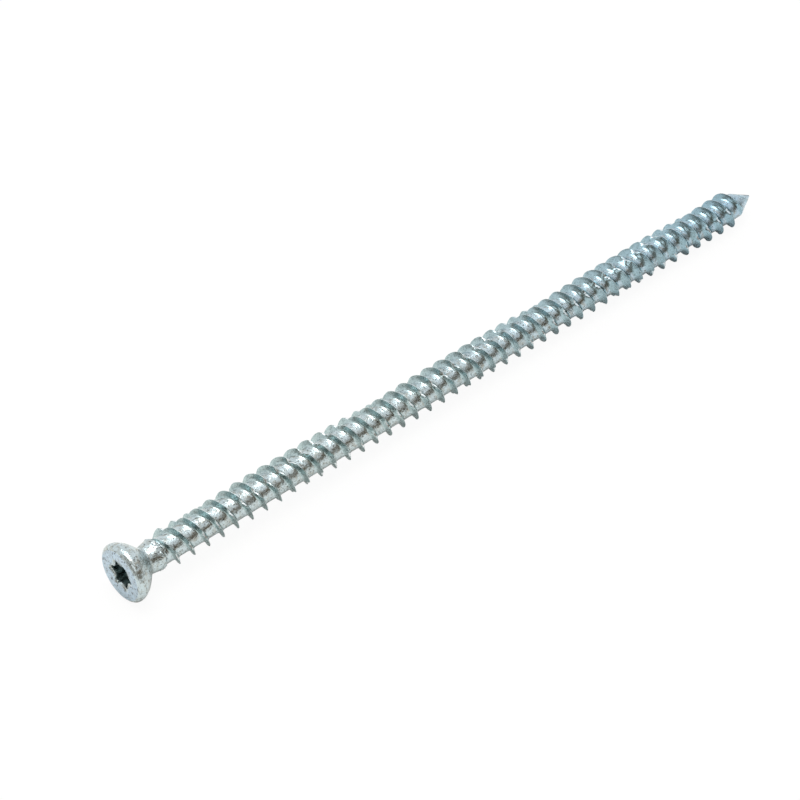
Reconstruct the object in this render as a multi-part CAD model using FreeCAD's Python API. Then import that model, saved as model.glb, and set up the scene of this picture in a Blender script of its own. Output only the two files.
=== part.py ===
import FreeCAD
import Part

import math
import os

# Window frame screw: one turned and rolled piece of steel, lying on its head rim and its thread.
# It is drawn with its axis on X, the head's flat face at x = 0 and the point towards +X, and is then
# laid down. Lengths are in millimetres and angles in degrees. Turns about the axis count from
# straight up and follow the right-hand rule along +X.

Vector = FreeCAD.Vector

# Whole screw
overall_length = 160.0
core_diameter = 5.0

# Head: flat face, rounded edge, straight rim, eased lower edge and seat cone
face_diameter = 9.9
head_diameter = 11.3
edge_depth = 0.8
rim_end = 1.5
easing_end = 2.9
easing_diameter = 10.0
cone_end = 4.8
cone_end_diameter = 5.8
fillet_end = 5.3
neck_diameter = 5.3
seam_turn = 4.29

# Neck: widens to the diameter of the blank before rolling, then drops to the core
neck_end = 7.5
blank_diameter = 5.95
shoulder_length = 1.2
shoulder_sink = 0.15

# Star recess: six round lobes, eased at the mouth, closed by a shallow cone
star_lobes = 6
star_outer_diameter = 5.6
star_inner_diameter = 3.95
star_lobe_radius = 0.46
star_turn = 29.5
star_depth = 2.7
star_cone_depth = 0.8
mouth_easing = 0.3
mouth_easing_depth = 0.3

# Thread: two ridges of one right-hand thread, wound half a turn apart
thread_diameter = 7.5
ridge_spacing = 3.29
ridge_count = 2
ridge_base_width = 1.2
ridge_foot_share = 0.3
thread_turn = 129.5
thread_turn_position = 7.59
ramp_start = 7.0
ramp_length = 3.2
buried_length = 3.6

# Notches along each crest, which stand in three slowly winding rows along the screw
notches_per_turn = 3.1563
notch_phase = 0.3
notch_offset = 0.5
notch_diameter = 5.8
notch_reach = 0.3
notch_roundness = 1.5
notch_stations = (0, 0.06, 0.14, 0.28, 0.5, 0.72, 0.86, 0.94)

# Point: the core and the crest both narrow to it
point_length = 4.7
blunt_diameter = 0.3
crest_taper_length = 7.2
thread_end_gap = 0.7
thread_end_diameter = 0.9

ridge_lead = ridge_spacing * ridge_count
core_radius = core_diameter / 2
crest_radius = thread_diameter / 2


def around(x, radius, turn):
    """A point at a distance along the axis, a radius from it and a turn about it."""
    angle = math.radians(turn)
    return Vector(x, -radius * math.sin(angle), radius * math.cos(angle))


def head_and_neck():
    """The turned head and neck: one outline spun about the axis."""
    face_radius = face_diameter / 2
    head_radius = head_diameter / 2
    corner = head_radius - face_radius
    middle = math.radians(45)
    arc_middle = Vector(edge_depth * (1 - math.cos(middle)), 0, face_radius + corner * math.sin(middle))
    edge = Part.Arc(Vector(0, 0, face_radius), arc_middle, Vector(edge_depth, 0, head_radius)).toShape()
    fillet_middle = Vector(
        0.45 * cone_end + 0.55 * fillet_end,
        0,
        (0.3 * cone_end_diameter + 0.7 * neck_diameter) / 2,
    )
    cone_foot = Vector(cone_end, 0, cone_end_diameter / 2)
    fillet_foot = Vector(fillet_end, 0, neck_diameter / 2)
    fillet = Part.Arc(cone_foot, fillet_middle, fillet_foot).toShape()
    rim = Part.makePolygon([
        Vector(edge_depth, 0, head_radius),
        Vector(rim_end, 0, head_radius),
        Vector(easing_end, 0, easing_diameter / 2),
        cone_foot,
    ])
    neck = Part.makePolygon([
        fillet_foot,
        Vector(neck_end, 0, blank_diameter / 2),
        Vector(neck_end + shoulder_length, 0, core_radius - shoulder_sink),
        Vector(neck_end + shoulder_length, 0, 0),
        Vector(0, 0, 0),
        Vector(0, 0, face_radius),
    ])
    outline = Part.Wire(Part.__sortEdges__([edge, fillet] + rim.Edges + neck.Edges))
    turned = Part.Face(outline).revolve(Vector(0, 0, 0), Vector(1, 0, 0), 360)
    turned.rotate(Vector(0, 0, 0), Vector(1, 0, 0), seam_turn)
    return turned


def star_outline(x, growth):
    """The star's closed outline: round lobes joined by round flanks that are tangent to them."""
    outer = star_outer_diameter / 2 + growth
    inner = star_inner_diameter / 2 + growth
    lobe = star_lobe_radius
    half_pitch = 180 / star_lobes
    lobe_centre = outer - lobe
    reach = lobe_centre * math.cos(math.radians(half_pitch))
    flank = (lobe_centre ** 2 + inner ** 2 - 2 * reach * inner - lobe ** 2) / (2 * (lobe + reach - inner))
    edges = []
    for index in range(star_lobes):
        turn = star_turn + index * 2 * half_pitch
        centre = around(0, lobe_centre, turn)
        before = around(0, inner + flank, turn - half_pitch)
        after = around(0, inner + flank, turn + half_pitch)
        start = centre + (before - centre).normalize() * lobe
        end = centre + (after - centre).normalize() * lobe
        next_centre = around(0, lobe_centre, turn + 2 * half_pitch)
        next_start = next_centre + (after - next_centre).normalize() * lobe
        edges.append(Part.Arc(start, around(0, outer, turn), end).toShape())
        edges.append(Part.Arc(end, around(0, inner, turn + half_pitch), next_start).toShape())
    outline = Part.Wire(edges)
    outline.translate(Vector(x, 0, 0))
    return outline


def star_recess():
    """What the punch leaves: a star bore with a cone at its end and an eased mouth."""
    reach = star_outer_diameter
    prism = Part.Face(star_outline(0, 0)).extrude(Vector(star_depth + star_cone_depth, 0, 0))
    punch_end = Part.makePolygon([
        Vector(0, 0, 0),
        Vector(0, 0, reach),
        Vector(star_depth, 0, reach),
        Vector(star_depth, 0, star_outer_diameter / 2),
        Vector(star_depth + star_cone_depth, 0, 0),
        Vector(0, 0, 0),
    ])
    punch = Part.Face(punch_end).revolve(Vector(0, 0, 0), Vector(1, 0, 0), 360)
    mouth = Part.makeLoft([star_outline(0, mouth_easing), star_outline(mouth_easing_depth, 0)], True, True)
    return prism.common(punch).fuse(mouth)


def core_radius_at(x):
    """Radius of the root between the ridges: straight, then the cone of the point."""
    slope = (core_radius - blunt_diameter / 2) / point_length
    return min(core_radius, blunt_diameter / 2 + slope * (overall_length - x))


def crest_limit_at(x):
    """Largest crest radius allowed at x: the ramp at the neck and the taper at the point."""
    rise = (x - ramp_start) / ramp_length
    ramp = core_radius + (crest_radius - core_radius) * rise
    thread_end = overall_length - thread_end_gap
    end_radius = thread_end_diameter / 2
    taper = end_radius + (crest_radius - end_radius) * (thread_end - x) / crest_taper_length
    return min(crest_radius, ramp, taper)


def ridge_section(ridge, travel, wanted_radius, first_x):
    """Foot, crest and foot of a ridge after some turns of travel, with the travel in front."""
    x = first_x + ridge_lead * travel
    turn = thread_turn + 360 * ((x - thread_turn_position) / ridge_lead + ridge / ridge_count)
    root = core_radius_at(x)
    if wanted_radius == 0:
        spot = around(x, root, turn)
        return travel, spot, spot, spot
    crest = max(root, min(wanted_radius, crest_limit_at(x)))
    fullness = (crest - root) / (crest_radius - core_radius)
    foot = ridge_base_width / 2 * (ridge_foot_share + (1 - ridge_foot_share) * fullness)
    behind = around(x - foot, core_radius_at(x - foot), turn)
    ahead = around(x + foot, core_radius_at(x + foot), turn)
    return travel, behind, around(x, crest, turn), ahead


def ridge_sections(ridge, first_x, travel_end):
    """All sections of one ridge, eight from notch to notch; it starts and ends as a spot on the core."""
    half = 1 / ridge_count
    plain = [0, half, travel_end - half, travel_end]
    stations = list(zip(plain, [0, crest_radius, crest_radius, 0]))
    shape = []
    for place in notch_stations:
        share = max(0, 1 - min(place, 1 - place) / notch_reach)
        shape.append((place, crest_radius - (crest_radius - notch_diameter / 2) * share ** notch_roundness))
    shift = notches_per_turn * (thread_turn_position - first_x) / ridge_lead
    shift -= notch_phase + notch_offset * ridge
    for notch in range(-math.ceil(shift) - 1, math.ceil(travel_end * notches_per_turn) + 2):
        for place, radius in shape:
            travel = (notch + place + shift) / notches_per_turn
            clear = min(abs(travel - other) for other in plain) > 0.005
            if 0 < travel < travel_end and clear:
                stations.append((travel, radius))
    return [ridge_section(ridge, travel, radius, first_x) for travel, radius in sorted(stations)]


def facet(a, b, c):
    """One flat facet, or none where two of its corners are the same spot."""
    if min((a - b).Length, (b - c).Length, (c - a).Length) < 1e-6:
        return []
    return [Part.Face(Part.makePolygon([a, b, c, a]))]


def strip(left, right):
    """Facets between two rows of (travel, point), taken in the order of their travel."""
    facets = []
    i = 0
    k = 0
    while i < len(left) - 1 or k < len(right) - 1:
        left_next = left[i + 1][0] if i < len(left) - 1 else math.inf
        right_next = right[k + 1][0] if k < len(right) - 1 else math.inf
        if left_next <= right_next:
            facets += facet(left[i][1], left[i + 1][1], right[k][1])
            i += 1
        else:
            facets += facet(left[i][1], right[k + 1][1], right[k][1])
            k += 1
    return facets


def fan(tip, loop):
    """Facets from one point to each edge of a closed loop of points."""
    facets = []
    for i in range(len(loop)):
        facets += facet(tip, loop[i - 1], loop[i])
    return facets


def threaded_shank():
    """Core and both ridges as one closed skin, from inside the neck to the point."""
    first_x = neck_end - buried_length
    travel_end = (overall_length - thread_end_gap - first_x) / ridge_lead
    half = 1 / ridge_count
    ridges = [ridge_sections(ridge, first_x, travel_end) for ridge in range(ridge_count)]
    facets = []
    head_loop = []
    point_loop = []
    for ridge, sections in enumerate(ridges):
        behind = [(s[0], s[1]) for s in sections]
        crest = [(s[0], s[2]) for s in sections]
        ahead = [(s[0], s[3]) for s in sections]
        facets += strip(behind, crest)
        facets += strip(crest, ahead)
        neighbour = ridges[(ridge + 1) % ridge_count]
        open_side = [row for row in ahead if row[0] <= travel_end - half + 1e-9]
        next_feet = [(s[0] - half, s[1]) for s in neighbour if s[0] >= half - 1e-9]
        facets += strip(open_side, next_feet)
        head_loop += [ahead[0][1], crest[0][1]]
        head_loop += [point for travel, point in behind if travel <= half + 1e-9]
        point_loop += [point for travel, point in ahead if travel >= travel_end - half - 1e-9]
        point_loop += [crest[-1][1], behind[-1][1]]
    facets += fan(Vector(first_x, 0, 0), head_loop[::-1])
    facets += fan(Vector(overall_length, 0, 0), point_loop)
    skin = Part.makeShell(facets)
    solid = Part.makeSolid(skin)
    if solid.Volume < 0:
        solid = solid.reversed()
    return solid, ridges


def resting_tilt(ridges):
    """Angle by which the point dips when the head rim and the thread both touch the ground."""
    head_radius = head_diameter / 2
    crests = [section[2] for sections in ridges for section in sections]
    forward = [point for point in crests if point.x > overall_length / 2]
    return math.degrees(min(math.atan2(head_radius + p.z, p.x - rim_end) for p in forward))


def lie_down(solid, ridges):
    """Tilt the screw onto its rim and thread, with the middle of its footprint at the origin."""
    solid = solid.copy()
    solid.rotate(Vector(0, 0, 0), Vector(0, 1, 0), resting_tilt(ridges))
    box = solid.optimalBoundingBox(False, False)
    solid.translate(Vector(-box.Center.x, -box.Center.y, -box.ZMin))
    return solid


shank, ridge_lines = threaded_shank()
screw = lie_down(head_and_neck().cut(star_recess()).fuse(shank), ridge_lines)

os.makedirs("parts", exist_ok=True)
screw.Solids[0].exportStep("parts/screw.step")
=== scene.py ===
"""Window frame screw: the look of the lying screw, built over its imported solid.

The screw is drawn in its own millimetres, with its axis on X, the head's flat face at zero and the
point towards plus X. Turns about the axis count from straight up and follow the right-hand rule.
It is then laid down in the frame's metres.
"""

import logging
import math
from dataclasses import dataclass, field
from enum import Enum
from typing import Any

import bpy
from mathutils import Matrix, Vector, noise

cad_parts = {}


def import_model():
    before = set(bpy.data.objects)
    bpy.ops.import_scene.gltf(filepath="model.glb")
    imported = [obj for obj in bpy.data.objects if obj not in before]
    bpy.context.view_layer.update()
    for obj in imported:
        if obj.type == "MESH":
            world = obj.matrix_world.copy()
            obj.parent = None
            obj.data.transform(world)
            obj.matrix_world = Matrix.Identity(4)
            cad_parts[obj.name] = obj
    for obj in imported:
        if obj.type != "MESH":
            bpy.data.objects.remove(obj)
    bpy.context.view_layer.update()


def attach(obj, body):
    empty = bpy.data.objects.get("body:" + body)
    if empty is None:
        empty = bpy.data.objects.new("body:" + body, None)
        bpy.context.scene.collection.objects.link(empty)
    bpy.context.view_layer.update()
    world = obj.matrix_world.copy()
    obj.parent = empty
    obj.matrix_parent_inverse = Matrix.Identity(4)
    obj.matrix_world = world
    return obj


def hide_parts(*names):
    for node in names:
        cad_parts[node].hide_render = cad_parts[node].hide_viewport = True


LOG = logging.getLogger("frame_screw")

Colour = tuple[float, float, float, float]
Place = tuple[float, float, float]
Span = tuple[float, float]
Profile = list[tuple[float, float]]
Output = tuple[bpy.types.Node, str | int]

# Millimetres from ridge to ridge. There are two ridges, so each climbs twice this in a turn.
RIDGE_SPACING = 3.29

# Edges between faces that turn by more than this are drawn sharp.
SHARP_ANGLE = math.radians(38)

# Millimetres within which two heights count as the same.
SAME_HEIGHT = 1e-6


def linear(hex_colour: str) -> Colour:
    """Turns an sRGB hex colour to linear light.

    Args:
        hex_colour: A colour such as "#c8d0d8".

    Returns:
        Red, green, blue and a full alpha in linear light.
    """
    channels = [int(hex_colour[i : i + 2], 16) / 255 for i in (1, 3, 5)]
    red, green, blue = [c / 12.92 if c <= 0.04045 else ((c + 0.055) / 1.055) ** 2.4 for c in channels]
    return red, green, blue, 1.0


def per_metre(millimetres: float) -> float:
    """Returns the texture scale that repeats once in so many millimetres."""
    return 1000.0 / millimetres


def add_node(tree: bpy.types.NodeTree, kind: str, settings: dict[str, Any], inputs: dict) -> bpy.types.Node:
    """Adds one node with its settings, its values and its links.

    Args:
        tree: The node tree to add to.
        kind: The node's type name.
        settings: Attributes of the node and their values.
        inputs: Input name or number to a value, or to a pair of a node and its output's name or number.

    Returns:
        The new node.
    """
    node = tree.nodes.new(kind)
    for name, value in settings.items():
        setattr(node, name, value)
    for name, value in inputs.items():
        if isinstance(value, tuple) and isinstance(value[0], bpy.types.Node):
            tree.links.new(value[0].outputs[value[1]], node.inputs[name])
        else:
            node.inputs[name].default_value = value
    return node


def smooth_step(value: float, low: float, high: float) -> float:
    """Returns 0 below low, 1 above high and an eased value between them."""
    share = min(1.0, max(0.0, (value - low) / (high - low)))
    return share * share * (3 - 2 * share)


class Zone(Enum):
    """The kinds of surface on the screw, in the order of the mesh's material slots."""

    SHANK = 0
    FLANK = 1
    CREST = 2
    FACE = 3
    RECESS = 4


@dataclass(frozen=True)
class Cloud:
    """A cloudy pattern in a surface.

    Attributes:
        detail: How many finer layers it has.
        roughness: How strong the finer layers are.
        low: The cloud's value at which what it drives begins.
        high: Its value at which what it drives is full.
    """

    detail: float
    roughness: float
    low: float = 0.0
    high: float = 1.0

    def inputs(self, spot: Output, size: float) -> dict[str, Any]:
        """Returns a noise node's inputs for a cloud of this size in millimetres."""
        return {"Vector": spot, "Scale": per_metre(size), "Detail": self.detail, "Roughness": self.roughness}


# The stain cloud also places the painted shade in the recess.
STAINS_AND_SHADE = Cloud(detail=5.0, roughness=0.62, low=0.47, high=0.66)
PITS = Cloud(detail=3.0, roughness=0.55, low=0.57, high=0.66)
DULLNESS = Cloud(detail=4.0, roughness=0.6, low=0.35, high=0.65)
RIPPLES = Cloud(detail=2.0, roughness=0.5)
GRAIN = Cloud(detail=4.0, roughness=0.7)


@dataclass(frozen=True)
class PlatedSteel:
    """Carbon steel, zinc plated in a barrel and passivated to a thin clear or bluish film.

    Attributes:
        name: The material's name.
        base: The plating's colour at the head.
        base_far: Its colour at the point, darker and bluer.
        stain_and_shade: The colour of the film where it is thicker; in the recess, this colour is painted
            shade.
        stain_and_shade_share: How much of that colour shows, from 0 to 1.
        stain_and_shade_size: Size of one of its patches in millimetres.
        speck: The colour of pits in the plating.
        speck_share: How dark the pits are, from 0 to 1.
        speck_size: Size of a pit in millimetres.
        roughness_low: Roughness where the plating is smoothest.
        roughness_high: Roughness where it is dullest.
        ripple_size: Size in millimetres of the ripples that rolling leaves.
        ripple_depth: Depth of the ripples in millimetres.
        grain_size: Size of the plating's grain in millimetres, drawn coarse enough to show.
        grain_depth: Depth of the grain in millimetres.
        bluing: Where the colour begins to turn towards base_far and where it is all base_far, along the
            frame's X in metres.
        dullness_to_ripple: Size of a dull patch, in ripples.
    """

    name: str
    base: str
    base_far: str
    stain_and_shade: str
    stain_and_shade_share: float
    stain_and_shade_size: float
    speck: str
    speck_share: float
    speck_size: float
    roughness_low: float
    roughness_high: float
    ripple_size: float
    ripple_depth: float
    grain_size: float
    grain_depth: float
    bluing: Span = (-0.02, 0.075)
    dullness_to_ripple: float = 1.7

    def patches(
        self,
        tree: bpy.types.NodeTree,
        below: Output,
        cloud: dict[str, Any],
        edge: Span,
        share: float,
        colour: str,
    ) -> Output:
        """Lays patches of one colour over what is below them.

        Args:
            tree: The material's node tree.
            below: The colour below.
            cloud: The inputs of the cloud that places them.
            edge: The cloud's values at which the colour begins and is full.
            share: How much of the colour shows where it is full, from 0 to 1.
            colour: The patches' colour.

        Returns:
            The mixed colour.
        """
        noise_node = add_node(tree, "ShaderNodeTexNoise", {}, cloud)
        edges = add_node(
            tree,
            "ShaderNodeMapRange",
            {},
            {"Value": (noise_node, 0), "From Min": edge[0], "From Max": edge[1], "To Max": share},
        )
        mixed = add_node(
            tree,
            "ShaderNodeMix",
            {"data_type": "RGBA"},
            {0: (edges, 0), 6: below, 7: linear(colour)},
        )
        return mixed, 2

    def relief(
        self, tree: bpy.types.NodeTree, cloud: dict[str, Any], depth: float, below: dict[str, Output]
    ) -> Output:
        """Presses a cloud into the surface.

        Args:
            tree: The material's node tree.
            cloud: The cloud's inputs.
            depth: Its depth in millimetres.
            below: The relief below as the input "Normal", or nothing.

        Returns:
            The surface's direction.
        """
        noise_node = add_node(tree, "ShaderNodeTexNoise", {}, cloud)
        bump = add_node(
            tree,
            "ShaderNodeBump",
            {},
            {"Height": (noise_node, 0), "Strength": 1.0, "Distance": depth / 1000, **below},
        )
        return bump, 0

    def build(self) -> bpy.types.Material:
        """Makes the material.

        Returns:
            A metal with stains, pits, ripples and grain in real millimetres.
        """
        material = bpy.data.materials.new(self.name)
        material.use_nodes = True
        tree = material.node_tree
        tree.nodes.clear()
        place = add_node(tree, "ShaderNodeTexCoord", {}, {})
        spot = (place, "Object")
        axes = add_node(tree, "ShaderNodeSeparateXYZ", {}, {0: spot})
        farness = add_node(
            tree,
            "ShaderNodeMapRange",
            {},
            {"Value": (axes, 0), "From Min": self.bluing[0], "From Max": self.bluing[1]},
        )
        plating = add_node(
            tree,
            "ShaderNodeMix",
            {"data_type": "RGBA"},
            {0: (farness, 0), 6: linear(self.base), 7: linear(self.base_far)},
        )
        stain_and_shade_cloud = STAINS_AND_SHADE.inputs(spot, self.stain_and_shade_size)
        stain_and_shade_edge = (STAINS_AND_SHADE.low, STAINS_AND_SHADE.high)
        # In the recess these patches are painted shade, not stains.
        stained_and_shaded = self.patches(tree, (plating, 2), stain_and_shade_cloud, stain_and_shade_edge, self.stain_and_shade_share, self.stain_and_shade)
        pit_cloud = PITS.inputs(spot, self.speck_size)
        pit_edge = (PITS.low, PITS.high)
        pitted = self.patches(tree, stained_and_shaded, pit_cloud, pit_edge, self.speck_share, self.speck)
        dull_size = self.ripple_size * self.dullness_to_ripple
        dullness = add_node(tree, "ShaderNodeTexNoise", {}, DULLNESS.inputs(spot, dull_size))
        roughness = add_node(
            tree,
            "ShaderNodeMapRange",
            {},
            {
                "Value": (dullness, 0),
                "From Min": DULLNESS.low,
                "From Max": DULLNESS.high,
                "To Min": self.roughness_low,
                "To Max": self.roughness_high,
            },
        )
        rippled = self.relief(tree, RIPPLES.inputs(spot, self.ripple_size), self.ripple_depth, {})
        grain_cloud = GRAIN.inputs(spot, self.grain_size)
        grained = self.relief(tree, grain_cloud, self.grain_depth, {"Normal": rippled})
        shader = add_node(
            tree,
            "ShaderNodeBsdfPrincipled",
            {},
            {"Base Color": pitted, "Metallic": 1.0, "Roughness": (roughness, 0), "Normal": grained},
        )
        add_node(tree, "ShaderNodeOutputMaterial", {}, {"Surface": (shader, 0)})
        return material


# Zinc-plated steel as rolled: bright pale grey with a cold cast and brownish blotches.
SHANK_FINISH = PlatedSteel(
    "zinc_plated_steel_rolled",
    base="#bfcdd1",
    base_far="#a6bfcf",
    stain_and_shade="#8f8672",
    stain_and_shade_share=0.6,
    stain_and_shade_size=0.9,
    speck="#3a372f",
    speck_share=0.75,
    speck_size=0.4,
    roughness_low=0.16,
    roughness_high=0.32,
    ripple_size=0.9,
    ripple_depth=0.12,
    grain_size=0.33,
    grain_depth=0.050,
)

# The same plating on the flanks, where the passivation runs thick and looks blue-green.
FLANK_FINISH = PlatedSteel(
    "zinc_plated_steel_blue_film",
    base="#b0c2c3",
    base_far="#93b2c0",
    stain_and_shade="#82979a",
    stain_and_shade_share=0.6,
    stain_and_shade_size=0.9,
    speck="#2f3a3c",
    speck_share=0.5,
    speck_size=0.3,
    roughness_low=0.20,
    roughness_high=0.34,
    ripple_size=0.8,
    ripple_depth=0.05,
    grain_size=0.24,
    grain_depth=0.016,
)

# The same plating on the crests, which the other screws in the barrel rub: it is burnished pale there, and
# made paler still as a painted glint on the crest edges and flat notch tops.
CREST_BURNISH_AND_GLINT = PlatedSteel(
    "zinc_plated_steel_burnished_and_glint",
    base="#dde4e6",
    base_far="#cddbe3",
    stain_and_shade="#b9bfc2",
    stain_and_shade_share=0.5,
    stain_and_shade_size=0.7,
    speck="#6a6a68",
    speck_share=0.4,
    speck_size=0.25,
    roughness_low=0.26,
    roughness_high=0.40,
    ripple_size=0.6,
    ripple_depth=0.01,
    grain_size=0.2,
    grain_depth=0.006,
)

# The same plating on the upset head: the die leaves it matt, with fine dark pits and duller patches.
FACE_FINISH = PlatedSteel(
    "zinc_plated_steel_matt",
    base="#b7c9d6",
    base_far="#b7c9d6",
    stain_and_shade="#a3adb4",
    stain_and_shade_share=0.7,
    stain_and_shade_size=0.9,
    speck="#2b3034",
    speck_share=0.95,
    speck_size=0.38,
    roughness_low=0.34,
    roughness_high=0.50,
    ripple_size=1.2,
    ripple_depth=0.04,
    grain_size=0.18,
    grain_depth=0.014,
)

# The same plating in the punched recess, made dark green-black as painted shade: the darker base and the
# near-black stain over most of it stand in for the recess's shade.
RECESS_PAINTED_SHADE = PlatedSteel(
    "zinc_plated_steel_painted_shade",
    base="#9fb0b1",
    base_far="#9fb0b1",
    stain_and_shade="#2c3a3d",
    stain_and_shade_share=0.95,
    stain_and_shade_size=0.7,
    speck="#20262a",
    speck_share=0.8,
    speck_size=0.3,
    roughness_low=0.22,
    roughness_high=0.40,
    ripple_size=0.7,
    ripple_depth=0.09,
    grain_size=0.25,
    grain_depth=0.040,
)

FINISHES = {
    Zone.SHANK: SHANK_FINISH,
    Zone.FLANK: FLANK_FINISH,
    Zone.CREST: CREST_BURNISH_AND_GLINT,
    Zone.FACE: FACE_FINISH,
    Zone.RECESS: RECESS_PAINTED_SHADE,
}


@dataclass
class Skin:
    """Corners and faces of a mesh as it grows, in the screw's own millimetres."""

    corners: list[Place] = field(default_factory=list)
    faces: list[tuple[int, ...]] = field(default_factory=list)
    zones: list[int] = field(default_factory=list)

    def corner(self, along: float, radius: float, turn: float) -> int:
        """Adds a corner.

        Args:
            along: Distance along the axis from the head's face.
            radius: Distance from the axis.
            turn: Turn about the axis in radians, from straight up.

        Returns:
            The corner's number.
        """
        self.corners.append((along, -radius * math.sin(turn), radius * math.cos(turn)))
        return len(self.corners) - 1

    def face(self, numbers: tuple[int, ...], zone: Zone) -> None:
        """Adds a face with its zone."""
        self.faces.append(numbers)
        self.zones.append(zone.value)

    def ring(self, along: list[float], radii: list[float]) -> list[int]:
        """Adds a closed ring of corners.

        Args:
            along: Each corner's distance along the axis.
            radii: Each corner's radius.

        Returns:
            The corners' numbers, in the order of their turn.
        """
        count = len(radii)
        return [self.corner(along[i], radii[i], math.tau * i / count) for i in range(count)]

    def join(self, first: list[int], second: list[int], zone: Zone) -> None:
        """Joins two rings with a belt of faces that look outward when second is nearer the point."""
        count = len(first)
        for i in range(count):
            k = (i + 1) % count
            self.face((first[i], first[k], second[k], second[i]), zone)

    def close(self, ring: list[int], along: float, zone: Zone, towards_head: bool) -> None:
        """Closes a ring with a fan to a corner on the axis."""
        middle = self.corner(along, 0.0, 0.0)
        count = len(ring)
        for i in range(count):
            k = (i + 1) % count
            self.face((ring[k], ring[i], middle) if towards_head else (ring[i], ring[k], middle), zone)

    def build(self, name: str, materials: list[bpy.types.Material], place: Matrix) -> bpy.types.Object:
        """Makes the object.

        Args:
            name: The object's name.
            materials: One material for each zone.
            place: Turns the screw's millimetres to the frame's metres.

        Returns:
            The object, linked to the scene.
        """
        mesh = bpy.data.meshes.new(name)
        mesh.from_pydata(self.corners, [], self.faces)
        mesh.transform(place)
        for material in materials:
            mesh.materials.append(material)
        mesh.polygons.foreach_set("material_index", self.zones)
        mesh.polygons.foreach_set("use_smooth", [True] * len(self.faces))
        mesh.update()
        mesh.set_sharp_from_angle(angle=SHARP_ANGLE)
        piece = bpy.data.objects.new(name, mesh)
        bpy.context.scene.collection.objects.link(piece)
        return piece


@dataclass(frozen=True)
class RoundWear:
    """A small unevenness round the axis, which closes on itself and is the same on each run.

    Attributes:
        amount: How far it goes either way, in millimetres.
        bumps: Radius of the circle that is read from the noise. More of it gives more bumps to a turn.
        pace: How fast it changes with each millimetre along the axis.
        layer: Where in the noise it is read.
    """

    amount: float
    bumps: float
    pace: float = 0.0
    layer: float = 0.0

    def at(self, turn: float, along: float) -> float:
        """Returns the unevenness at a turn in radians and a distance along, from about -1 to 1."""
        height = along * self.pace + self.layer
        return noise.noise(Vector((math.cos(turn) * self.bumps, math.sin(turn) * self.bumps, height)))


@dataclass(frozen=True)
class RidgeWear:
    """A small unevenness along the two ridges, which is the same on each run.

    Attributes:
        amount: How far it goes, in millimetres.
        pace: How fast it changes with each millimetre, notch or section.
        apart: How far apart in the noise the two ridges are read.
        layer: Where in the noise it is read.
    """

    amount: float
    pace: float
    apart: float
    layer: float

    def at(self, place: float, start: int) -> float:
        """Returns the unevenness at a place along ridge 0 or 1, from about -1 to 1."""
        return noise.noise(Vector((place * self.pace, start * self.apart, self.layer)))


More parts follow.
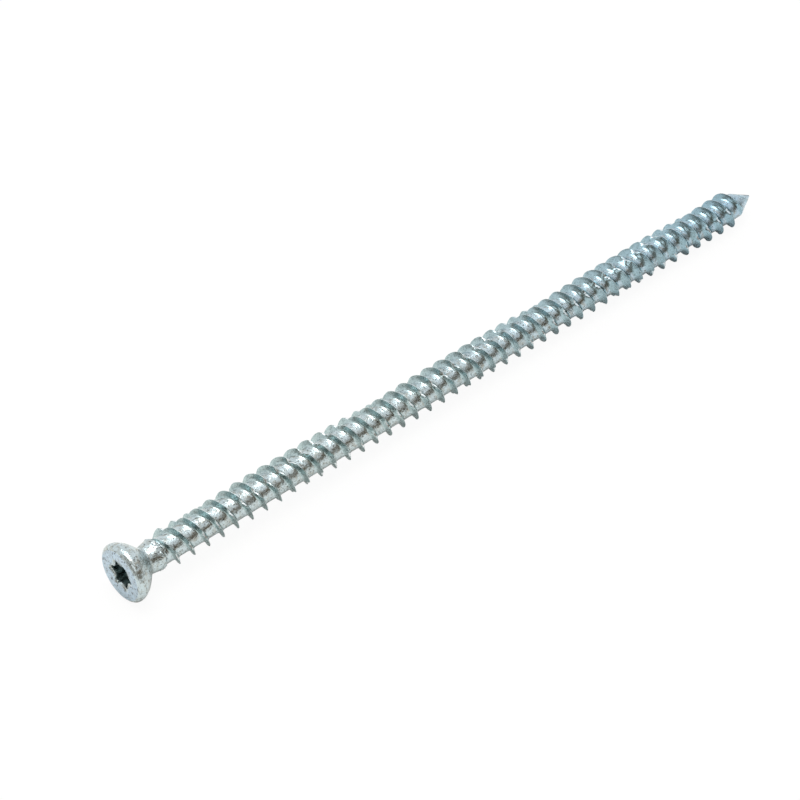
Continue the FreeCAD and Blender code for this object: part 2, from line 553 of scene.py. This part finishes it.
@dataclass
class StarRecess:
    """The six-lobe recess that the heading punch leaves, in millimetres and degrees.

    Attributes:
        lobes: How many lobes it has.
        outer: Size across the lobes.
        inner: Size across the hollows between them.
        lobe_radius: Radius of a lobe's end.
        turn: Turn of the first lobe.
        wall_inset: How much nearer the axis than the solid's the drawn wall stands.
        wall_end: Depth of the wall's foot.
        wall_levels: Depths of the rings between the wall's foot and its top.
        wall_foot: How far above its foot the wall's lowest ring is.
        floor_drop: How far below the wall's foot the floor's edge is.
        floor_share: The floor's radius as a share of the wall's.
        floor_burr: How much of the burr shows at the floor's edge.
        cone_drop: How far below the wall's foot the cone begins.
        cone_radius: The cone's radius there.
        cone_share: The most that it may be, as a share of the wall's radius.
        cone_burr: How much of the burr shows there.
        cone_end: Depth of the cone's tip.
        easing_depth: Depth at which the wall begins to ease outward.
        easing_margin: How far below that the wall's top ring is.
        lip_level: Depth of the lip as a share of easing_depth.
        lip_share: How far out the lip is, as a share of the way from the wall to the mouth.
        lip_burr: How much of the burr shows at the lip.
        edge_depth: Depth of the mouth's inner edge.
        edge_inset: How far inside the mouth this edge is.
        edge_burr: How much of the burr shows at this edge.
        mouth_growth: How far the mouth is eased outward all round.
        mouth_spread: How much farther the punch has torn it at two opposite sides.
        worn_turn: Turn of the side where the punch has rounded the mouth.
        worn_radius: Radius to which that side is rounded.
        worn_span: Cosines of the turn from that side at which the rounding begins and is full.
        burr: The torn metal in the recess.
    """

    lobes: int = 6
    outer: float = 5.6
    inner: float = 3.95
    lobe_radius: float = 0.46
    turn: float = 29.5
    wall_inset: float = 0.005
    wall_end: float = 2.7
    wall_levels: tuple[float, ...] = (2.0, 1.3, 0.7)
    wall_foot: float = 0.07
    floor_drop: float = 0.04
    floor_share: float = 0.93
    floor_burr: float = 1.0
    cone_drop: float = 0.45
    cone_radius: float = 1.25
    cone_share: float = 0.5
    cone_burr: float = 0.5
    cone_end: float = 3.5
    easing_depth: float = 0.30
    easing_margin: float = 0.06
    lip_level: float = 0.55
    lip_share: float = 0.45
    lip_burr: float = 1.2
    edge_depth: float = 0.05
    edge_inset: float = 0.03
    edge_burr: float = 0.4
    mouth_growth: float = 0.20
    mouth_spread: float = 0.40
    worn_turn: float = 39.5
    worn_radius: float = 3.02
    worn_span: Span = (-0.15, 0.55)
    burr: RoundWear = RoundWear(amount=0.07, bumps=13.0, layer=3.0)

    def radius(self, turn: float, growth: float) -> float:
        """Finds the star's edge: an arc round each lobe's end, and a hollow arc between two lobes.

        Args:
            turn: Turn about the axis in radians.
            growth: How far the whole outline is moved outward.

        Returns:
            The star's radius at that turn.
        """
        half = math.pi / self.lobes
        local = (turn - math.radians(self.turn) + half) % (2 * half) - half
        outer = self.outer / 2 + growth
        inner = self.inner / 2 + growth
        lobe_centre = outer - self.lobe_radius
        reach = lobe_centre * math.cos(half)
        hollow_radius = (lobe_centre**2 + inner**2 - 2 * reach * inner - self.lobe_radius**2) / (
            2 * (self.lobe_radius + reach - inner)
        )
        hollow_centre = inner + hollow_radius
        toward = Vector((hollow_centre * math.cos(half) - lobe_centre, hollow_centre * math.sin(half)))
        tangent = Vector((lobe_centre, 0.0)) + toward.normalized() * self.lobe_radius
        if abs(local) <= math.atan2(tangent.y, tangent.x):
            across = lobe_centre * math.sin(abs(local))
            return lobe_centre * math.cos(local) + math.sqrt(self.lobe_radius**2 - across**2)
        side = half - abs(local)
        across = hollow_centre * math.sin(side)
        return hollow_centre * math.cos(side) - math.sqrt(hollow_radius**2 - across**2)

    def growth_at(self, turn: float) -> float:
        """Returns how far the punch has torn the mouth outward, which is most at two opposite sides."""
        aside = abs(math.sin(turn - math.radians(self.worn_turn)))
        return self.mouth_growth + self.mouth_spread * aside

    def worn_at(self, turn: float) -> float:
        """Returns the radius to which the punch has rounded one side of the mouth."""
        return self.worn_radius * smooth_step(math.cos(turn - math.radians(self.worn_turn)), *self.worn_span)

    def build(self, skin: Skin, segments: int) -> tuple[list[int], list[float]]:
        """Adds the recess to the skin, from its cone up to the mouth's inner edge.

        Args:
            skin: The mesh so far.
            segments: Corners in each ring.

        Returns:
            The ring at the mouth's inner edge, and the mouth's radii.
        """
        turns = [math.tau * i / segments for i in range(segments)]
        wall = [self.radius(turn, 0.0) - self.wall_inset for turn in turns]
        mouth = [max(self.radius(turn, self.growth_at(turn)), self.worn_at(turn)) for turn in turns]
        burr = [self.burr.amount * self.burr.at(turn, 0.0) for turn in turns]

        def level(depth: float, share: float) -> list[float]:
            """Returns the depths of a ring's corners, with this share of the burr in them."""
            return [depth + share * rough for rough in burr]

        cone_radii = [min(self.cone_radius, radius * self.cone_share) for radius in wall]
        cone = skin.ring(level(self.wall_end + self.cone_drop, self.cone_burr), cone_radii)
        floor_radii = [radius * self.floor_share for radius in wall]
        before = skin.ring(level(self.wall_end + self.floor_drop, self.floor_burr), floor_radii)
        skin.close(cone, self.cone_end, Zone.RECESS, True)
        skin.join(before, cone, Zone.RECESS)
        depths = (self.wall_end - self.wall_foot, *self.wall_levels, self.easing_depth + self.easing_margin)
        belts = [(level(depth, 0.0), wall, Zone.RECESS) for depth in depths]
        lip = [inside + self.lip_share * (outside - inside) for inside, outside in zip(wall, mouth)]
        belts.append((level(self.easing_depth * self.lip_level, self.lip_burr), lip, Zone.SHANK))
        edge = [radius - self.edge_inset for radius in mouth]
        belts.append((level(self.edge_depth, self.edge_burr), edge, Zone.SHANK))
        for along, radii, zone in belts:
            ring = skin.ring(along, radii)
            skin.join(ring, before, zone)
            before = ring
        return before, mouth


@dataclass
class HeadAndNeck:
    """The upset head, the cone under it and the neck up to where the thread starts, in millimetres.

    Attributes:
        recess: The star recess.
        segments: Corners in each ring.
        face_radius: Radius of the flat face.
        face_margin: How far outside the recess's mouth the flat face begins.
        face_steps: Shares of the way from there to its edge at which its rings are.
        face_edge: Distance along and radius of the first ring of the rounded edge.
        side: Distance along and radius of the edge, the rim and the cone, down to the neck.
        neck_start: Distance along and radius at which the neck starts.
        neck_radius: Radius of the blank, to which the neck widens.
        neck_end: Where it has that radius and the shoulder begins.
        neck_foot: Where the shoulder ends.
        neck_steps: Rings along the neck.
        shoulder: How far the shoulder drops.
        cap_drop: How far below the shoulder the hidden end is closed.
        lead: How far the ridges climb in a turn.
        gall_in: Where the galling under the first turn begins and is full.
        gall_out: Where it begins to fade and ends.
        smear: The galled metal's smears, which follow the ridges.
        nick: The small nicks in it.
    """

    recess: StarRecess = field(default_factory=StarRecess)
    segments: int = 240
    face_radius: float = 4.80
    face_margin: float = 0.05
    face_steps: tuple[float, ...] = (0.0, 0.35, 0.7, 1.0)
    face_edge: Span = (0.03, 4.92)
    side: Profile = field(
        default_factory=lambda: [
            (0.09, 5.05),
            (0.20, 5.22),
            (0.34, 5.38),
            (0.48, 5.49),
            (0.62, 5.57),
            (0.76, 5.615),
            (0.90, 5.63),
            (1.05, 5.63),
            (1.22, 5.61),
            (1.45, 5.57),
            (1.75, 5.49),
            (2.05, 5.35),
            (2.45, 5.12),
            (2.90, 4.83),
            (3.40, 4.38),
            (3.95, 3.82),
            (4.45, 3.27),
            (4.80, 2.92),
            (5.05, 2.73),
            (5.30, 2.65),
        ]
    )
    neck_start: Span = (5.60, 2.68)
    neck_radius: float = 2.975
    neck_end: float = 7.5
    neck_foot: float = 8.9
    neck_steps: int = 34
    shoulder: float = 0.62
    cap_drop: float = 0.05
    lead: float = 2 * RIDGE_SPACING
    gall_in: Span = (6.7, 7.6)
    gall_out: Span = (8.7, 8.9)
    smear: RoundWear = RoundWear(amount=0.24, bumps=4.2, pace=3.4)
    nick: RoundWear = RoundWear(amount=0.07, bumps=9.0, pace=5.5)

    def face(self, skin: Skin) -> list[int]:
        """Adds the recess and the flat face.

        Args:
            skin: The mesh so far.

        Returns:
            The ring at the face's outer edge.
        """
        before, mouth = self.recess.build(skin, self.segments)
        for share in self.face_steps:
            radii = [r + self.face_margin + share * (self.face_radius - r - self.face_margin) for r in mouth]
            ring = skin.ring([0.0] * self.segments, radii)
            skin.join(ring, before, Zone.FACE)
            before = ring
        return before

    def neck(self) -> Profile:
        """Returns the distance along and the radius of each ring of the neck and its shoulder."""
        start, start_radius = self.neck_start
        outline = [self.neck_start]
        for i in range(1, self.neck_steps + 1):
            along = start + (self.neck_foot - start) * i / self.neck_steps
            widened = min(1.0, (along - start) / (self.neck_end - start))
            drop = smooth_step(along, self.neck_end, self.neck_foot)
            radius = start_radius + (self.neck_radius - start_radius) * widened
            outline.append((along, radius - self.shoulder * drop))
        return outline

    def galled(self, along: float, radius: float, turn: float) -> float:
        """Returns the radius with the galling under the thread's first turn, at a turn in radians."""
        gall = smooth_step(along, *self.gall_in) * (1 - smooth_step(along, *self.gall_out))
        smear = self.smear.at(turn - math.tau * along / self.lead, along)
        nick = self.nick.at(turn, along)
        return radius + gall * (self.smear.amount * smear + self.nick.amount * nick)

    def build(self, skin: Skin) -> None:
        """Adds the head and neck to the skin."""
        before = self.face(skin)
        turns = [math.tau * i / self.segments for i in range(self.segments)]
        zone = Zone.FACE
        for along, radius in [self.face_edge, *self.side, *self.neck()]:
            ring = skin.ring([along] * self.segments, [self.galled(along, radius, turn) for turn in turns])
            skin.join(before, ring, zone)
            zone = Zone.SHANK
            before = ring
        skin.close(before, self.neck_foot + self.cap_drop, Zone.SHANK, False)


@dataclass
class SerratedThread:
    """The core, its two ridges with their notches, and the point, in millimetres and degrees.

    Attributes:
        overall: Length from the head's face to the point.
        core_radius: Radius of the core.
        crest_radius: Radius over the crests.
        spacing: Distance from ridge to ridge.
        sections_per_notch: Sections of a ridge from notch to notch.
        notches_per_turn: Notches on each ridge in a turn.
        anchor: Distance along at which the first ridge's turn is given, where it leaves the neck.
        anchor_turn: The first ridge's turn there.
        notch_phase: How many notches before the anchor the first ridge's notch 0 is.
        notch_offset: How many notches before that the second ridge's notch 0 is.
        notch_radius: Radius at the bottom of a notch.
        notch_curve: Power that shapes a notch's sides. More of it gives a sharper bottom.
        reach_before: Length of a notch's steep side, which is nearer the head, in notches.
        reach_after: Length of its gentle side, in notches.
        point_length: Length over which the core narrows to the point.
        tip_radius: The core's radius at the point.
        least_radius: The least radius that the core is drawn with.
        least_height: The least height that a ridge is drawn with.
        least_width: A ridge's width where it has no height, as a share of its full width.
        taper_length: Length over which the crests run out.
        taper_drop: How far they drop over that length.
        end_radius: Radius of the crests at thread_end.
        thread_end: Where the ridges end.
        ramp_start: Where the crests begin to rise from the core.
        ramp_length: Length over which they rise.
        ramp_rise: How far they rise over that length.
        first: Where the ridges begin, inside the neck.
        ragged_in: Where the first turn begins to be ragged and is most so.
        ragged_out: Where this begins to fade and ends.
        flares: How much wider the ridges' feet grow, with where it begins and where it is full.
        notch_wear: The notches' differences in depth.
        crest_wear: What is rubbed off the crests.
        sway: The ragged turn's sway from side to side.
        chips: What is torn off its crest.
        outline: Half of a full ridge, as half its width and the share of its height, from the foot up.
    """

    overall: float = 159.98
    core_radius: float = 2.5
    crest_radius: float = 3.685
    spacing: float = RIDGE_SPACING
    sections_per_notch: int = 32
    notches_per_turn: float = 3.1563
    anchor: float = 7.59
    anchor_turn: float = 129.5
    notch_phase: float = 0.3
    notch_offset: float = 0.5
    notch_radius: float = 2.95
    notch_curve: float = 1.5
    reach_before: float = 0.18
    reach_after: float = 0.34
    point_length: float = 4.7
    tip_radius: float = 0.12
    least_radius: float = 0.02
    least_height: float = 0.003
    least_width: float = 0.3
    taper_length: float = 6.5
    taper_drop: float = 3.3
    end_radius: float = 0.45
    thread_end: float = 159.3
    ramp_start: float = 7.0
    ramp_length: float = 3.2
    ramp_rise: float = 1.25
    first: float = 5.4
    ragged_in: Span = (7.0, 8.0)
    ragged_out: Span = (9.6, 11.0)
    flares: tuple[tuple[float, Span], ...] = ((0.25, (25.0, 60.0)), (0.8, (85.0, 125.0)))
    notch_wear: RidgeWear = RidgeWear(amount=0.12, pace=2.11, apart=3.3, layer=7.7)
    crest_wear: RidgeWear = RidgeWear(amount=0.06, pace=0.13, apart=5.1, layer=0.3)
    sway: RidgeWear = RidgeWear(amount=0.10, pace=2.6, apart=9.0, layer=1.0)
    chips: RidgeWear = RidgeWear(amount=0.25, pace=3.7, apart=4.0, layer=5.0)
    outline: Profile = field(
        default_factory=lambda: [
            (0.88, 0.0),
            (0.60, 0.03),
            (0.44, 0.10),
            (0.31, 0.30),
            (0.15, 0.66),
            (0.03, 1.0),
        ]
    )

    def core_at(self, along: float) -> float:
        """Returns the root's radius at a distance along the axis."""
        slope = (self.core_radius - self.tip_radius) / self.point_length
        narrowed = self.tip_radius + slope * (self.overall - along)
        return max(self.least_radius, min(self.core_radius, narrowed))

    def crest_limit_at(self, along: float) -> float:
        """Returns the largest crest radius at a distance along the axis."""
        ramp = self.core_radius + self.ramp_rise * (along - self.ramp_start) / self.ramp_length
        taper = self.end_radius + self.taper_drop * (self.thread_end - along) / self.taper_length
        return min(self.crest_radius, ramp, taper)

    def along_at(self, start: int, number: int) -> float:
        """Returns the distance along the axis of a ridge's section with this number."""
        notches = number / self.sections_per_notch - self.notch_phase - self.notch_offset * start
        return self.anchor + 2 * self.spacing * notches / self.notches_per_turn

    def crest_at(self, start: int, number: int) -> float:
        """Finds the crest's radius where nothing limits it.

        Args:
            start: 0 or 1, the ridge.
            number: The section's number along the ridge. Multiples of sections_per_notch are notch bottoms.

        Returns:
            The radius: full between the notches, and each notch a little its own.
        """
        index, step = divmod(number, self.sections_per_notch)
        place = step / self.sections_per_notch
        reach = self.reach_after
        if place > 0.5:
            index += 1
            place = 1 - place
            reach = self.reach_before
        share = max(0.0, 1 - place / reach)
        low = self.notch_radius + self.notch_wear.amount * self.notch_wear.at(index, start)
        high = self.crest_radius - self.crest_wear.amount * max(0.0, self.crest_wear.at(number, start))
        return high - (high - low) * share**self.notch_curve

    def section(self, skin: Skin, start: int, number: int) -> tuple[float, list[int], int]:
        """Adds one section of a ridge, from its foot behind to its foot ahead.

        Args:
            skin: The mesh so far.
            start: 0 or 1, the ridge.
            number: The section's number along the ridge.

        Returns:
            The turns travelled, the corners' numbers, and how many rows each side are below the crest.
        """
        along = self.along_at(start, number)
        travel = (along - self.anchor) / (2 * self.spacing)
        turn = math.radians(self.anchor_turn) + math.tau * (travel + start / 2)
        limit = self.crest_limit_at(along)
        root = self.core_at(along)
        ragged = smooth_step(along, *self.ragged_in) * (1 - smooth_step(along, *self.ragged_out))
        sway = self.sway.amount * ragged * self.sway.at(along, start)
        crest = min(limit, self.crest_at(start, number))
        crest -= self.chips.amount * ragged * max(0.0, self.chips.at(along, start))
        height = max(self.least_height, crest - root)
        full = max(0.0, min(1.0, (limit - root) / (self.crest_radius - self.core_radius)))
        tall = max(height, full * (self.crest_radius - self.core_radius))
        narrow = self.least_width + (1 - self.least_width) * full
        flare = sum(amount * smooth_step(along, *span) for amount, span in self.flares)
        side = [(width * (1 + flare * (1 - share)), share) for width, share in self.outline]
        rows = [(-width, share) for width, share in side]
        rows += list(reversed(side))
        numbers = []
        for width, share in rows:
            rise = min(height, share * tall)
            spot = min(along + width * narrow + sway * min(1.0, rise), self.overall)
            numbers.append(skin.corner(spot, self.core_at(spot) + rise, turn))
        below = sum(1 for _, share in self.outline if share * tall < height - SAME_HEIGHT)
        return travel, numbers, below

    def zone_at(self, column: int, below: int) -> Zone:
        """Returns the zone of the faces in a column, given the rows below the crest."""
        last = 2 * len(self.outline) - 2
        # Crest strips and flat notch tops take the pale crest material: rubbed wear with a painted glint.
        if below - 1 < column < last - below + 1 or column == last // 2:
            return Zone.CREST
        return Zone.SHANK if column == 0 or column == last else Zone.FLANK

    def belt(self, skin: Skin, left: list[tuple[float, int]], right: list[tuple[float, int]]) -> None:
        """Joins two rows of corners with triangles, taken in the order of their travel.

        Args:
            skin: The mesh so far.
            left: Travel and number of each corner nearer the head.
            right: Travel and number of each corner nearer the point.
        """
        i = 0
        k = 0
        while i < len(left) - 1 or k < len(right) - 1:
            left_next = left[i + 1][0] if i < len(left) - 1 else math.inf
            right_next = right[k + 1][0] if k < len(right) - 1 else math.inf
            if left_next <= right_next:
                skin.face((left[i][1], left[i + 1][1], right[k][1]), Zone.SHANK)
                i += 1
            else:
                skin.face((left[i][1], right[k + 1][1], right[k][1]), Zone.SHANK)
                k += 1

    def ridge(self, skin: Skin, start: int) -> list[tuple[float, list[int], int]]:
        """Adds one ridge.

        Args:
            skin: The mesh so far.
            start: 0 or 1, the ridge.

        Returns:
            Its sections, as section gives them.
        """
        per_millimetre = self.sections_per_notch * self.notches_per_turn / (2 * self.spacing)
        shift = (self.notch_phase + self.notch_offset * start) * self.sections_per_notch
        low = math.ceil((self.first - self.anchor) * per_millimetre + shift)
        high = math.floor((self.thread_end - self.anchor) * per_millimetre + shift)
        return [self.section(skin, start, number) for number in range(low, high + 1)]

    def build(self, skin: Skin) -> None:
        """Adds both ridges and the core between them as one skin, and closes the point."""
        ridges = [self.ridge(skin, start) for start in (0, 1)]
        for sections in ridges:
            for now, following in zip(sections, sections[1:]):
                for k in range(len(now[1]) - 1):
                    numbers = (now[1][k], following[1][k], following[1][k + 1], now[1][k + 1])
                    skin.face(numbers, self.zone_at(k, min(now[2], following[2])))
        between = 1 / len(ridges)
        last = ridges[0][-1][0]
        tip = skin.corner(self.overall, 0.0, 0.0)
        for start in (0, 1):
            ahead = [(travel, numbers[-1]) for travel, numbers, _ in ridges[start]]
            behind = [(travel - between, numbers[0]) for travel, numbers, _ in ridges[1 - start]]
            open_side = [row for row in ahead if row[0] <= last - between]
            self.belt(skin, open_side, [row for row in behind if row[0] >= ahead[0][0]])
            rim = ahead[len(open_side) - 1 :]
            for first, second in zip(rim, rim[1:]):
                skin.face((first[1], second[1], tip), Zone.SHANK)
            end = ridges[start][-1][1]
            for k in range(len(end) - 1):
                skin.face((end[k + 1], end[k], tip), Zone.SHANK)


@dataclass
class FrameScrew:
    """The whole screw, laid on its head rim and its thread.

    Attributes:
        head: The head and the neck.
        thread: The thread, the core and the point.
        tilt: How far the axis slopes down towards the point, in degrees.
        face_centre: The centre of the head's flat face, in the frame's millimetres.
    """

    head: HeadAndNeck = field(default_factory=HeadAndNeck)
    thread: SerratedThread = field(default_factory=SerratedThread)
    tilt: float = 0.8250
    face_centre: Place = (-79.956, 0.0, 5.671)

    def placement(self) -> Matrix:
        """Returns the matrix from the screw's millimetres to the frame's metres."""
        turned = Matrix.Rotation(math.radians(self.tilt), 4, "Y")
        return Matrix.Scale(0.001, 4) @ Matrix.Translation(Vector(self.face_centre)) @ turned

    def build(self) -> None:
        """Builds the head and the thread and puts them in the place of the solid."""
        materials = [FINISHES[zone].build() for zone in Zone]
        for name, part in (("screw_head_and_neck", self.head), ("screw_thread_and_point", self.thread)):
            skin = Skin()
            part.build(skin)
            piece = skin.build(name, materials, self.placement())
            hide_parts("screw")
            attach(piece, "root")
            LOG.info("%s: %d corners, %d faces", name, len(skin.corners), len(skin.faces))


@dataclass(frozen=True)
class SoftLamp:
    """A square lamp that looks at the screw.

    Attributes:
        name: The lamp's name.
        place: Where it hangs, in metres.
        size: Its side in metres.
        power: Its power in watts.
    """

    name: str
    place: Place
    size: float
    power: float

    def build(self) -> None:
        """Makes the lamp."""
        data = bpy.data.lights.new(self.name, "AREA")
        data.shape = "SQUARE"
        data.size = self.size
        data.energy = self.power
        lamp = bpy.data.objects.new(self.name, data)
        lamp.location = self.place
        lamp.rotation_euler = (-Vector(self.place)).to_track_quat("-Z", "Y").to_euler()
        bpy.context.scene.collection.objects.link(lamp)


@dataclass
class Studio:
    """The pale floor, the soft lights and the dim walls round the screw.

    Attributes:
        floor_size: The floor's side in metres.
        floor_colour: The colour of the floor's paper.
        floor_roughness: Its roughness.
        glow_colour: The colour that the floor glows in, to the eye alone.
        glow_to_eye: How much of that glow the camera sees, from 0 to 1.
        wall_colour: The colour of the dim walls.
        ceiling_colour: The colour of the pale ceiling.
        room_strength: How bright the room is.
        pale_side: The way to the ceiling's middle.
        pale_edge: Where the walls end and where the ceiling is full, along pale_side.
        dim_side: The way to the dim room.
        dim_edge: Where it begins and where it is full, along dim_side.
        lamps: The soft lamps.
    """

    floor_size: float = 6.0
    floor_colour: str = "#f4f4f2"
    floor_roughness: float = 0.9
    glow_colour: str = "#ffffff"
    glow_to_eye: float = 0.93
    wall_colour: str = "#756a5b"
    ceiling_colour: str = "#ffffff"
    room_strength: float = 1.05
    pale_side: Place = (0.15, 0.50, 0.85)
    pale_edge: Span = (0.06, 0.36)
    dim_side: Place = (-0.46, -0.20, 0.86)
    dim_edge: Span = (0.80, 0.92)
    lamps: tuple[SoftLamp, ...] = (
        SoftLamp("lamp_overhead", place=(-0.05, 0.05, 0.9), size=0.6, power=5.0),
        SoftLamp("lamp_side", place=(-0.7, -0.5, 0.6), size=0.4, power=1.0),
    )

    def paper(self) -> bpy.types.Material:
        """Makes the floor's material: matt white paper that also glows to the eye.

        Returns:
            The material.
        """
        material = bpy.data.materials.new("white_paper")
        material.use_nodes = True
        tree = material.node_tree
        tree.nodes.clear()
        paper = add_node(
            tree,
            "ShaderNodeBsdfPrincipled",
            {},
            {"Base Color": linear(self.floor_colour), "Roughness": self.floor_roughness},
        )
        glow = add_node(tree, "ShaderNodeEmission", {}, {"Color": linear(self.glow_colour), "Strength": 1.0})
        path = add_node(tree, "ShaderNodeLightPath", {}, {})
        share = add_node(
            tree,
            "ShaderNodeMath",
            {"operation": "MULTIPLY"},
            {0: (path, "Is Camera Ray"), 1: self.glow_to_eye},
        )
        mixed = add_node(tree, "ShaderNodeMixShader", {}, {0: (share, 0), 1: (paper, 0), 2: (glow, 0)})
        add_node(tree, "ShaderNodeOutputMaterial", {}, {"Surface": (mixed, 0)})
        return material

    def floor(self) -> None:
        """Makes the floor, which reads as white to the eye and keeps the shadow."""
        half = self.floor_size / 2
        corners = [(-half, -half, 0), (half, -half, 0), (half, half, 0), (-half, half, 0)]
        mesh = bpy.data.meshes.new("floor")
        mesh.from_pydata(corners, [], [(0, 1, 2, 3)])
        mesh.materials.append(self.paper())
        floor = bpy.data.objects.new("floor", mesh)
        bpy.context.scene.collection.objects.link(floor)

    def room(self) -> None:
        """Makes the world: a pale ceiling and far wall, and a dim brownish room on the camera's side."""
        world = bpy.data.worlds.new("room")
        bpy.context.scene.world = world
        world.use_nodes = True
        tree = world.node_tree
        tree.nodes.clear()
        place = add_node(tree, "ShaderNodeTexCoord", {}, {})
        toward, behind = [
            add_node(
                tree,
                "ShaderNodeVectorMath",
                {"operation": "DOT_PRODUCT"},
                {0: (place, "Generated"), 1: side},
            )
            for side in (self.pale_side, self.dim_side)
        ]
        ramp = add_node(tree, "ShaderNodeValToRGB", {}, {0: (toward, "Value")})
        colours = (self.wall_colour, self.ceiling_colour)
        for stop, position, colour in zip(ramp.color_ramp.elements, self.pale_edge, colours):
            stop.position = position
            stop.color = linear(colour)
        dimness = add_node(
            tree,
            "ShaderNodeMapRange",
            {},
            {"Value": (behind, "Value"), "From Min": self.dim_edge[0], "From Max": self.dim_edge[1]},
        )
        mixed = add_node(
            tree,
            "ShaderNodeMix",
            {"data_type": "RGBA"},
            {0: (dimness, 0), 6: (ramp, 0), 7: linear(self.wall_colour)},
        )
        back = add_node(
            tree,
            "ShaderNodeBackground",
            {},
            {"Color": (mixed, 2), "Strength": self.room_strength},
        )
        add_node(tree, "ShaderNodeOutputWorld", {}, {"Surface": (back, 0)})

    def build(self) -> None:
        """Builds the floor, the room and the soft lamps."""
        self.floor()
        self.room()
        for lamp in self.lamps:
            lamp.build()


@dataclass
class PhotoCamera:
    """The camera, at the photograph's place and angle.

    Attributes:
        offset: The camera's place from the centre of the head's face, in metres.
        lens: Its focal length in millimetres.
        sensor_width: Its sensor's width in millimetres.
        clip: The nearest and farthest distance that it sees, in metres.
        look_down: How far it looks down, in degrees.
        heading: The way it looks, in degrees from the frame's X towards Y.
        matched_tilt: The screw's tilt for which the place and angles were read, in degrees.
    """

    offset: Place = (-0.1858, -0.2735, 0.3361)
    lens: float = 123.3
    sensor_width: float = 36.0
    clip: Span = (0.01, 50.0)
    look_down: float = 42.105
    heading: float = 47.487
    matched_tilt: float = 0.7257

    def build(self, face_centre: Vector, tilt: float) -> None:
        """Makes the camera and looks through it.

        Args:
            face_centre: The centre of the head's face, in metres.
            tilt: The screw's tilt in degrees, with which the camera leans.
        """
        data = bpy.data.cameras.new("camera")
        data.sensor_width = self.sensor_width
        data.lens = self.lens
        data.clip_start, data.clip_end = self.clip
        camera = bpy.data.objects.new("camera", data)
        down = math.radians(self.look_down)
        heading = math.radians(self.heading)
        forward = Vector(
            (math.cos(down) * math.cos(heading), math.cos(down) * math.sin(heading), -math.sin(down))
        )
        lean = Matrix.Rotation(math.radians(tilt - self.matched_tilt), 3, "Y")
        camera.location = face_centre + lean @ Vector(self.offset)
        camera.rotation_euler = (lean @ forward.to_track_quat("-Z", "Y").to_matrix()).to_euler()
        bpy.context.scene.collection.objects.link(camera)
        bpy.context.scene.camera = camera


def main() -> None:
    """Builds the screw, the studio and the camera."""
    logging.basicConfig(level=logging.INFO, format="%(message)s")
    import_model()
    screw = FrameScrew()
    screw.build()
    Studio().build()
    PhotoCamera().build(Vector(screw.face_centre) / 1000, screw.tilt)
    bpy.context.scene.view_settings.view_transform = "Standard"
    LOG.info("studio and camera built")


if __name__ == "__main__":
    main()
